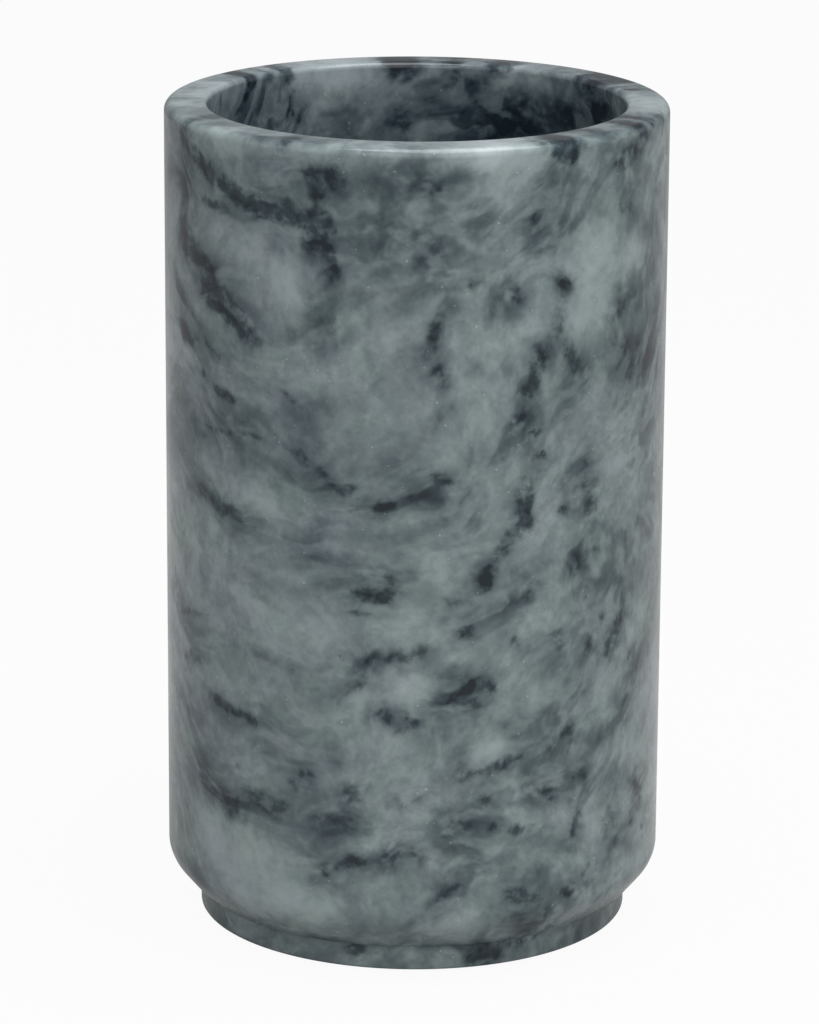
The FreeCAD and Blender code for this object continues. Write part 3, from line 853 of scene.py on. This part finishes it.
# Dark and pale areas there, in the same terms.
BORE_TONES = (
    (1.8, 2.4, (-8, 130), (-1, 130)),
    (1.6, -1.0, (-32, 130), (-12, 130)),
    (1.6, 1.6, (6, 130), (12, 130)),
    (1.6, 2.4, (21, 130), (28, 130)),
    (1.8, 2.8, (51, 130), (64, 130)),
    (1.4, 1.8, (-42, 130), (-38, 130)),
    (1.4, 1.8, (-55, 130), (-51, 130)),
    (6.5, 0.95, (14, 121), (44, 120)),
    (4.5, 0.8, (36, 121.5), (66, 122.5)),
    (4.0, 0.5, (2, 117.4), (36, 116.6)),
    (3.0, 0.7, (58, 124), (70, 125)),
    (2.2, 0.7, (10, 125.6), (19, 125)),
    (2.0, 0.7, (-8, 127), (6, 126.6)),
    (4.6, 0.35, (-5, 122), (9, 121)),
    (2.4, 0.5, (-9, 118.6), (-3, 117)),
    (5.0, 0.75, (-60, 123.5), (-44, 121)),
    (3.0, 0.5, (-44, 124), (-38, 118)),
    (5.0, 0.6, (-33, 120), (-14, 118.5)),
    (3.0, -0.7, (-33, 126.2), (-22, 125.6)),
    (2.6, -0.6, (-22, 125.4), (-10, 125)),
    (2.0, -0.8, (20, 126.8), (36, 126.2)),
    (2.0, -0.7, (36, 126), (52, 125.6)),
    (3.0, -0.3, (-70, 126.5), (-63, 126)),
)

STROKE_OVERLAP = 0.62
STROKE_SPREAD = 1.8


def lay_strokes(nodes, wall, girth, strokes):
    """Summed strength of tapered strokes on an unrolled wall, one for each stretch between two points."""
    total = 0.0
    for width, strength, *points in strokes:
        flat = [Vector((girth * math.radians(angle), height, 0.0)) for angle, height in points]
        for start, end in zip(flat, flat[1:]):
            along = end - start
            sockets = {
                "Vector": wall,
                "Location": (start + end) / 2,
                "Rotation": (0.0, 0.0, math.atan2(along.y, along.x)),
                "Scale": (along.length * STROKE_OVERLAP + width, width * STROKE_SPREAD, 1.0),
            }
            local = nodes.node("ShaderNodeMapping", {"vector_type": "TEXTURE"}, sockets)
            fade = {"gradient_type": "SPHERICAL"}
            taper = nodes.node("ShaderNodeTexGradient", fade, {"Vector": local}, "Fac")
            total = taper.math("MULTIPLY_ADD", taper, strength, total)
    return total


def part_place(nodes):
    """The point's place in the part's own frame, in millimetres."""
    metres = nodes.node("ShaderNodeTexCoord", {}, {}, "Object")
    return nodes.vector("SCALE", metres, scale=MILLIMETRES)


def along_layers(nodes, place, stretch):
    """Places turned to the stone's layers and stretched along them."""
    lie = LAYER_NORMAL.to_track_quat("Z", "Y").to_euler()
    sockets = {"Vector": place, "Rotation": lie, "Scale": stretch}
    return nodes.node("ShaderNodeMapping", {"vector_type": "TEXTURE"}, sockets)


class StonePlaces:
    """Where a point lies in the stone, in millimetres: plain, swirled, along layers and on the walls."""

    def __init__(self, nodes, sizes):
        self.nodes = nodes
        self.plain = part_place(nodes)
        self.swirled = nodes.bend(nodes.bend(self.plain, SWIRL_SIZE, SWIRL_REACH), EDDY_SIZE, EDDY_REACH)
        self.layers = along_layers(nodes, self.swirled, CLOUD_STRETCH)
        across, depth, self.height = (
            nodes.node("ShaderNodeSeparateXYZ", {}, {"Vector": self.plain}, axis) for axis in "XYZ"
        )
        self.radius = across.math("SQRT", across * across + depth * depth)
        self.blocky = nodes.step(across, *BANDS_TO_BLOCKS)
        self.girth = sizes.body_radius * MILLIMETRES
        self.bore_girth = self.girth - sizes.wall * MILLIMETRES
        self.angle = across.math("ARCTAN2", across, depth * -1)
        back_angle = across.math("ARCTAN2", across, depth)
        push = nodes.bend_push(self.plain, STROKE_PUSH_SIZE, STROKE_PUSH)
        ripple = nodes.bend_push(self.layers, STROKE_RIPPLE_SIZE, STROKE_RIPPLE)
        ripple = nodes.vector("SCALE", ripple, scale=LEFT_RIPPLE + self.blocky * ADDED_RIGHT_RIPPLE)
        self.ruffle = nodes.vector("ADD", push, ripple)
        self.outside = self.unroll(self.angle * self.girth)
        self.bore = self.unroll(back_angle * self.bore_girth)

    def unroll(self, way_round):
        """A wall laid flat, as millimetres round and up, on which strokes get ruffled edges."""
        flat = self.nodes.node("ShaderNodeCombineXYZ", {}, {"X": way_round, "Y": self.height})
        return self.nodes.vector("ADD", flat, self.ruffle)

    def strokes(self, front_strokes, bore_strokes):
        """Strokes on the outside and in the bore, which fade out towards the axis."""
        front = lay_strokes(self.nodes, self.outside, self.girth, front_strokes)
        back = lay_strokes(self.nodes, self.bore, self.bore_girth, bore_strokes)
        skin = self.nodes.step(self.radius, *(self.bore_girth + inset for inset in INSIDE_TO_SKIN))
        return (front + back) * skin

    def mouth(self):
        """1 on the rim and high in the bore, 0 on the outside."""
        inner = self.nodes.step(self.radius, *(self.girth + inset for inset in OUTSIDE_TO_RIM))
        return self.nodes.step(self.height, *BORE_TO_MOUTH) * inner

    def calm(self):
        """1 on the front and at the mouth, where the listed strokes take over from the noise."""
        front = self.nodes.step(abs(self.angle), *SIDES_TO_FRONT)
        return front.math("MAXIMUM", front, self.mouth())


def crystal_grain(nodes, stone):
    """A random value for each crystal, and the few bright crystals: pale calcite, partly painted sparkle off
    their faces.
    """
    jostled = nodes.bend(stone.plain, GRAIN_BEND, GRAIN_REACH)
    crystals = {"Vector": jostled, "Scale": CRYSTALS_PER_MILLIMETRE}
    crystal = nodes.node("ShaderNodeTexVoronoi", {"feature": "F1"}, crystals, "Color")
    glint = nodes.node("ShaderNodeSeparateColor", {}, {"Color": crystal}, "Red")
    off_middle = nodes.node("ShaderNodeTexVoronoi", {"feature": "F1"}, crystals, "Distance")
    # the few bright crystals: pale calcite, partly painted sparkle off their faces
    pale_crystals_and_sparkle = nodes.step(glint, *BRIGHT_CRYSTALS) * nodes.step(off_middle, *CRYSTAL_MIDDLE)
    return glint, pale_crystals_and_sparkle


def blotches(nodes, stone):
    """Streaks along the layers on the left that turn into blocks on the right."""
    streaked = along_layers(nodes, stone.swirled, BAND_STRETCH)
    bands = nodes.noise(streaked, BAND_SIZE, detail=2.0, roughness=0.5)
    folded = along_layers(nodes, stone.swirled, BLOCK_STRETCH)
    blocks = nodes.noise(folded, BLOCK_SIZE, detail=2.0, roughness=0.45)
    return nodes.step(bands + (blocks - bands) * stone.blocky, *BLOTCH_FADE)


def mottles(nodes, stone):
    """Fine uneven spots all over the stone."""
    jostled = nodes.bend(stone.plain, MOTTLE_BEND, MOTTLE_REACH)
    return nodes.step(nodes.noise(jostled, MOTTLE_SIZE, detail=2.0, roughness=0.5), *MOTTLE_FADE)


def loose_veins(nodes, stone):
    """Broken veins along the layers, with gaps between them."""
    dash = nodes.step(nodes.noise(stone.layers, DASH_SIZE, detail=4.0, roughness=0.6), *DASH_FADE)
    level = nodes.noise(stone.layers, RIDGE_SIZE, detail=3.0, roughness=0.5)
    ridge = nodes.step(abs(level - MIDDLE), *RIDGE_FADE)
    gaps = nodes.step(nodes.noise(stone.swirled, GAP_SIZE, detail=2.0, roughness=0.5), *GAP_FADE)
    return (dash * DASH + ridge * RIDGE) * gaps


def stone_darkness(nodes, stone, glint, pale_crystals_and_sparkle):
    """How dark the stone is at each point, from its clouds, veins and grain, with some painted shade,
    painted highlight and painted sparkle.
    """
    veins = stone.strokes(FRONT_VEINS, BORE_VEINS)
    tones_and_painted_light = stone.strokes(FRONT_TONES_AND_PAINTED_LIGHT, BORE_TONES)
    calm = stone.calm()
    cloud = nodes.noise(stone.layers, CLOUD_SIZE, detail=3.0, roughness=0.55)
    patch = nodes.step(nodes.noise(stone.swirled, PATCH_SIZE, detail=3.0, roughness=0.55), *PATCH_FADE)
    blotch = blotches(nodes, stone)
    mottle = mottles(nodes, stone)
    broken = (blotch + mottle) * 0.5
    ink = (veins + tones_and_painted_light * HEART_FROM_TONES) * (INK + broken * INK_BREAKS) + (glint - MIDDLE) * INK_GRAIN
    heart = nodes.step(ink, *HEART_FADE)
    halo = nodes.step(veins, *HALO_FADE)
    dark = GROUND + (cloud - MIDDLE) * (CLOUD - calm * CALMED_CLOUD)
    dark = dark + (patch - MIDDLE) * PATCH + (blotch - MIDDLE) * BLOTCH + (mottle - MIDDLE) * MOTTLE
    dark = dark + loose_veins(nodes, stone) * (1 - calm * CALMED_VEINS)
    # bright crystals pale the stone, partly as painted sparkle
    dark = dark + (glint - MIDDLE) * GRAIN - pale_crystals_and_sparkle * PALE_CRYSTALS_AND_SPARKLE
    dark = dark + tones_and_painted_light * (TONE + blotch * TONE_BREAKS)
    return dark + halo * HALO + heart * (HEART + broken * HEART_BREAKS)


def marble(colours, sizes):
    """Grey marble: clouds and charcoal veins along its dipping layers, over fine crystals, with some light
    and shade painted into its colour.
    """
    material = bpy.data.materials.new("grey_marble")
    nodes = NodeTree(material)
    stone = StonePlaces(nodes, sizes)
    glint, pale_crystals_and_sparkle = crystal_grain(nodes, stone)
    stops = (
        (-0.4, colours.white),
        (0.1, colours.pale),
        (0.38, colours.ground),
        (0.7, colours.shade),
        (1.1, colours.deep),
        (1.6, colours.vein),
    )
    tone = nodes.ramp(stone_darkness(nodes, stone, glint, pale_crystals_and_sparkle), stops)
    haze = nodes.step(nodes.noise(stone.swirled, HAZE_SIZE, detail=4.0, roughness=0.6), *HAZE_FADE)
    spread = haze * (TINT - stone.blocky * LOST_RIGHT_TINT)
    hazed = haze.math("MAXIMUM", spread, stone.mouth() * MOUTH_TINT)
    tinted = nodes.mix(hazed, tone, opaque(colours.tint), "MULTIPLY")
    rough = STONE_ROUGHNESS + (glint - MIDDLE) * ROUGHNESS_GRAIN
    skin = {"Base Color": tinted, "Roughness": rough, "IOR": STONE_IOR}
    nodes.surface(nodes.node("ShaderNodeBsdfPrincipled", {}, skin))
    return material


# Foam

FOAM_CELLS_PER_MILLIMETRE = 4.0
FOAM_MOTTLE_SIZE = 1.8
FOAM_WEAR = 1.9
FOAM_ROUGHNESS = 0.78
FOAM_ROUGHNESS_MOTTLE = 0.16


def foam(colours):
    """Matt closed-cell foam with fine open cells at its skin."""
    material = bpy.data.materials.new("pad_foam")
    nodes = NodeTree(material)
    place = part_place(nodes)
    packing = {"Vector": place, "Scale": FOAM_CELLS_PER_MILLIMETRE}
    cells = nodes.node("ShaderNodeTexVoronoi", {"feature": "F1"}, packing, "Distance")
    mottle = nodes.noise(place, FOAM_MOTTLE_SIZE, detail=3.0, roughness=0.6)
    worn = tuple(channel * FOAM_WEAR for channel in colours.foam)
    tone = nodes.mix(mottle, opaque(colours.foam), opaque(worn))
    relief = nodes.node("ShaderNodeBump", {}, {"Height": cells, "Strength": 0.5, "Distance": 0.0001})
    rough = FOAM_ROUGHNESS + mottle * FOAM_ROUGHNESS_MOTTLE
    skin = {"Base Color": tone, "Roughness": rough, "Normal": relief}
    nodes.surface(nodes.node("ShaderNodeBsdfPrincipled", {}, skin))
    return material


# Pieces

MERGE_DISTANCE = 1e-6
PAD_SEGMENTS = 48
PAD_ROUND_SEGMENTS = 4
FLAT_NORMAL = 0.999


def mesh_object(name, shape, *materials):
    """An object at the origin whose mesh is the finished shape."""
    mesh = bpy.data.meshes.new(name)
    shape.to_mesh(mesh)
    shape.free()
    for material in materials:
        mesh.materials.append(material)
    made = bpy.data.objects.new(name, mesh)
    bpy.context.scene.collection.objects.link(made)
    return made


def make_piece(name, mesh_builder, material, node):
    """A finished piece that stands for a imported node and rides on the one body."""
    shape = bmesh.new()
    mesh_builder(shape)
    piece = mesh_object(name, shape, material)
    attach(piece, "root")
    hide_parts(node)


def round_edges(shape, edges, setback, segments):
    """Rounds edges, with the new edges at setback from them."""
    bmesh.ops.bevel(
        shape,
        geom=edges,
        offset=setback,
        offset_type="OFFSET",
        segments=segments,
        profile=0.5,
        affect="EDGES",
        material=-1,
    )


def ring_edges(shape, radius, height):
    """Edges of the turned shape that run round the axis at that radius and height."""
    found = []
    for edge in shape.edges:
        ends = [(math.hypot(v.co.x, v.co.y), v.co.z) for v in edge.verts]
        if all(abs(r - radius) < MERGE_DISTANCE and abs(z - height) < MERGE_DISTANCE for r, z in ends):
            found.append(edge)
    return found


def spaced_profile(corners, gap):
    """The profile's corners with points between them, no further apart than the gap."""
    points = [Vector(corners[0])]
    for start, end in zip(map(Vector, corners), map(Vector, corners[1:])):
        steps = math.ceil((end - start).length / gap)
        points += [start.lerp(end, number / steps) for number in range(1, steps + 1)]
    return points


def turned_stone(shape, sizes):
    """The stone as it is turned: foot, ledge, shoulder, wall, rim and bore, every edge eased."""
    foot_radius = sizes.body_radius - sizes.foot_step
    ledge_radius = foot_radius + sizes.ledge
    bore_radius = sizes.body_radius - sizes.wall
    ledge_height = sizes.underside + sizes.foot_height
    shoulder_height = ledge_height + sizes.shoulder_rise
    floor_height = sizes.underside + sizes.floor
    corners = (
        (0.0, sizes.underside),
        (foot_radius, sizes.underside),
        (foot_radius, ledge_height),
        (ledge_radius, ledge_height),
        (sizes.body_radius, shoulder_height),
        (sizes.body_radius, sizes.rim_height),
        (bore_radius, sizes.rim_height),
        (bore_radius, floor_height),
        (0.0, floor_height),
    )
    profile = [shape.verts.new((0.0, *point)) for point in spaced_profile(corners, sizes.ring_gap)]
    edges = [shape.edges.new(pair) for pair in zip(profile, profile[1:])]
    bmesh.ops.spin(
        shape,
        geom=profile + edges,
        axis=(0, 0, 1),
        cent=(0, 0, 0),
        angle=math.tau,
        steps=sizes.turns,
        use_merge=True,
    )
    bmesh.ops.remove_doubles(shape, verts=shape.verts, dist=MERGE_DISTANCE)
    bmesh.ops.recalc_face_normals(shape, faces=shape.faces)
    shoulder_turn = math.atan2(sizes.foot_step - sizes.ledge, sizes.shoulder_rise)
    shoulder_setback = sizes.shoulder_round * math.tan(shoulder_turn / 2)
    # radius, height, setback and segments of each corner's round
    rounds = (
        (foot_radius, sizes.underside, sizes.foot_round, 4),
        (foot_radius, ledge_height, sizes.ledge_ease, 3),
        (ledge_radius, ledge_height, sizes.ledge_ease, 3),
        (sizes.body_radius, shoulder_height, shoulder_setback, 8),
        (sizes.body_radius, sizes.rim_height, sizes.rim_round, 8),
        (bore_radius, sizes.rim_height, sizes.mouth_round, 6),
        (bore_radius, floor_height, sizes.floor_cove, 10),
    )
    for radius, height, setback, segments in rounds:
        round_edges(shape, ring_edges(shape, radius, height), setback, segments)
    for face in shape.faces:
        face.smooth = True


class TUMBLER_OT_stone(bpy.types.Operator):
    """Turn the marble cup"""

    bl_idname = "tumbler.stone"
    bl_label = "Marble cup"

    def execute(self, context):
        sizes = context.scene.tumbler_sizes
        material = marble(context.scene.stone_colours, sizes)
        make_piece("marble_cup", lambda shape: turned_stone(shape, sizes), material, STONE_NODE)
        return {"FINISHED"}


def foam_pad(shape, sizes, node):
    """A die-cut disc of foam, square at the glued face and eased where it stands."""
    low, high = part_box(node)
    centre = (low + high) / 2
    radius = (high.x - low.x) / 2
    disc = bmesh.ops.create_circle(shape, cap_ends=True, segments=PAD_SEGMENTS, radius=radius)
    bmesh.ops.translate(shape, verts=disc["verts"], vec=(centre.x, centre.y, high.z))
    grown = bmesh.ops.extrude_face_region(shape, geom=shape.faces[:])
    lower = [item for item in grown["geom"] if isinstance(item, bmesh.types.BMVert)]
    bmesh.ops.translate(shape, verts=lower, vec=(0, 0, low.z - high.z))
    rim = [edge for edge in shape.edges if all(vert in lower for vert in edge.verts)]
    round_edges(shape, rim, sizes.pad_round, PAD_ROUND_SEGMENTS)
    bmesh.ops.recalc_face_normals(shape, faces=shape.faces)
    for face in shape.faces:
        face.smooth = abs(face.normal.z) < FLAT_NORMAL


class TUMBLER_OT_pads(bpy.types.Operator):
    """Stick the foam pads under the foot"""

    bl_idname = "tumbler.pads"
    bl_label = "Foam pads"

    def execute(self, context):
        sizes = context.scene.tumbler_sizes
        material = foam(context.scene.stone_colours)
        for number, node in enumerate(PAD_NODES, 1):
            name = f"foam_pad_{number}"
            make_piece(name, lambda shape: foam_pad(shape, sizes, node), material, node)
        return {"FINISHED"}


# Stage

FLOOR_HALF = 1.5
BACKDROP_HEIGHT = 1.4
SWEEP_RADIUS = 0.5
SWEEP_SEGMENTS = 24
SENSOR_HEIGHT = 36.0
WHITE = (1.0, 1.0, 1.0, 1.0)

# Shares of plain white that the paper and the room show to the camera and in gloss
FLOOR_SEEN = 0.95
FLOOR_MIRRORED = 0.18
BACKDROP_SEEN = 0.97
BACKDROP_MIRRORED = 0.1
ROOM_SEEN = 1.0
ROOM_MIRRORED = 0.2

# Places and sizes of the softboxes, in metres
TOP_SOFTBOX = (0.1, -0.1, 0.7)
TOP_SOFTBOX_SIZE = 0.5
FRONT_SOFTBOX = (0.1, -1.0, 0.55)
FRONT_SOFTBOX_SIZE = 1.0


def shown_share(nodes, seen_share, mirrored_share):
    """The share of white for rays from the camera or through glass, and for rays off gloss."""
    kinds = ("Camera", "Transmission", "Glossy")
    rays = [nodes.node("ShaderNodeLightPath", {}, {}, f"Is {kind} Ray") for kind in kinds]
    camera, clear, mirrored = rays
    seen = camera.math("MAXIMUM", camera, clear)
    return seen.math("MAXIMUM", seen * seen_share, mirrored * mirrored_share)


def studio_paper(name, tone, seen_share, mirrored_share):
    """Matt paper that looks white to the camera, less so in gloss, and still takes the shadow."""
    material = bpy.data.materials.new(name)
    nodes = NodeTree(material)
    matt = nodes.node("ShaderNodeBsdfDiffuse", {}, {"Color": opaque(tone)})
    glow = nodes.node("ShaderNodeEmission", {}, {"Color": WHITE, "Strength": 1.0})
    share = shown_share(nodes, seen_share, mirrored_share)
    nodes.surface(nodes.node("ShaderNodeMixShader", {}, {0: share, 1: matt, 2: glow}))
    return material


def make_paper(settings):
    """The sweep of paper: a floor that curves up into the backdrop behind the tumbler."""
    shape = bmesh.new()
    bmesh.ops.create_grid(shape, x_segments=1, y_segments=1, size=FLOOR_HALF)
    back = [edge for edge in shape.edges if all(vert.co.y > 0 for vert in edge.verts)]
    raised = bmesh.ops.extrude_edge_only(shape, edges=back)["geom"]
    tops = [item for item in raised if isinstance(item, bmesh.types.BMVert)]
    bmesh.ops.translate(shape, verts=tops, vec=(0, 0, BACKDROP_HEIGHT))
    fold = [edge for edge in shape.edges if len(edge.link_faces) == 2]
    round_edges(shape, fold, SWEEP_RADIUS, SWEEP_SEGMENTS)
    for face in shape.faces:
        face.material_index = int(face.calc_center_median().z > 0.0)
    floor = studio_paper("floor_paper", settings.floor_paper, FLOOR_SEEN, FLOOR_MIRRORED)
    backdrop = studio_paper("backdrop_paper", settings.backdrop_paper, BACKDROP_SEEN, BACKDROP_MIRRORED)
    paper = mesh_object("studio_paper", shape, floor, backdrop)


def add_softbox(name, place, target, size, power):
    """A square area light that points at the target."""
    light = bpy.data.lights.new(name, "AREA")
    light.size = size
    light.energy = power
    lamp = bpy.data.objects.new(name, light)
    lamp.location = place
    lamp.rotation_euler = (Vector(target) - Vector(place)).to_track_quat("-Z", "Y").to_euler()
    bpy.context.scene.collection.objects.link(lamp)


def light_studio(settings):
    """Two softboxes in an even white room."""
    middle = (0.0, 0.0, settings.aim_height)
    add_softbox("top_softbox", TOP_SOFTBOX, middle, TOP_SOFTBOX_SIZE, settings.top_power)
    add_softbox("front_softbox", FRONT_SOFTBOX, middle, FRONT_SOFTBOX_SIZE, settings.front_power)
    world = bpy.data.worlds.new("white_room")
    bpy.context.scene.world = world
    nodes = NodeTree(world)
    strength = settings.sky + shown_share(nodes, ROOM_SEEN, ROOM_MIRRORED) * (1.0 - settings.sky)
    room = nodes.node("ShaderNodeBackground", {}, {"Color": WHITE, "Strength": strength})
    nodes.surface(room, "ShaderNodeOutputWorld")


def place_camera(settings):
    """The camera at the photograph's angle."""
    data = bpy.data.cameras.new("camera")
    data.sensor_fit = "VERTICAL"
    data.sensor_height = SENSOR_HEIGHT
    data.lens = settings.lens
    camera = bpy.data.objects.new("camera", data)
    aim = Vector((settings.aim_side, 0.0, settings.aim_height))
    back = Vector((0.0, -math.cos(settings.elevation), math.sin(settings.elevation)))
    camera.location = aim + back * settings.distance
    turn = (-back).to_track_quat("-Z", "Y") @ Quaternion((0, 0, 1), settings.roll)
    camera.rotation_euler = turn.to_euler()
    bpy.context.scene.collection.objects.link(camera)
    bpy.context.scene.camera = camera


class TUMBLER_OT_stage(bpy.types.Operator):
    """Set up the floor, lights and camera"""

    bl_idname = "tumbler.stage"
    bl_label = "Stage"

    def execute(self, context):
        settings = context.scene.studio_settings
        context.scene.view_settings.view_transform = "Standard"
        make_paper(settings)
        light_studio(settings)
        place_camera(settings)
        return {"FINISHED"}


class TUMBLER_PT_panel(bpy.types.Panel):
    """Lists the tumbler's pieces and settings"""

    bl_label = "Marble tumbler"
    bl_space_type = "VIEW_3D"
    bl_region_type = "UI"
    bl_category = "Tumbler"

    def draw(self, context):
        for operator in OPERATORS:
            self.layout.operator(operator.bl_idname)
        for name, group in SETTINGS.items():
            box = self.layout.box()
            for key in group.__annotations__:
                box.prop(getattr(context.scene, name), key)


SETTINGS = {
    "tumbler_sizes": TumblerSizes,
    "stone_colours": StoneColours,
    "studio_settings": StudioSettings,
}
OPERATORS = (TUMBLER_OT_stone, TUMBLER_OT_pads, TUMBLER_OT_stage)


def register():
    for kind in (*SETTINGS.values(), *OPERATORS, TUMBLER_PT_panel):
        bpy.utils.register_class(kind)
    for name, group in SETTINGS.items():
        setattr(bpy.types.Scene, name, PointerProperty(type=group))


def unregister():
    for name in SETTINGS:
        delattr(bpy.types.Scene, name)
    for kind in (TUMBLER_PT_panel, *reversed(OPERATORS), *reversed(SETTINGS.values())):
        bpy.utils.unregister_class(kind)


def main():
    register()
    bpy.ops.tumbler.stone()
    bpy.ops.tumbler.pads()
    bpy.ops.tumbler.stage()


if __name__ == "__main__":
    main()
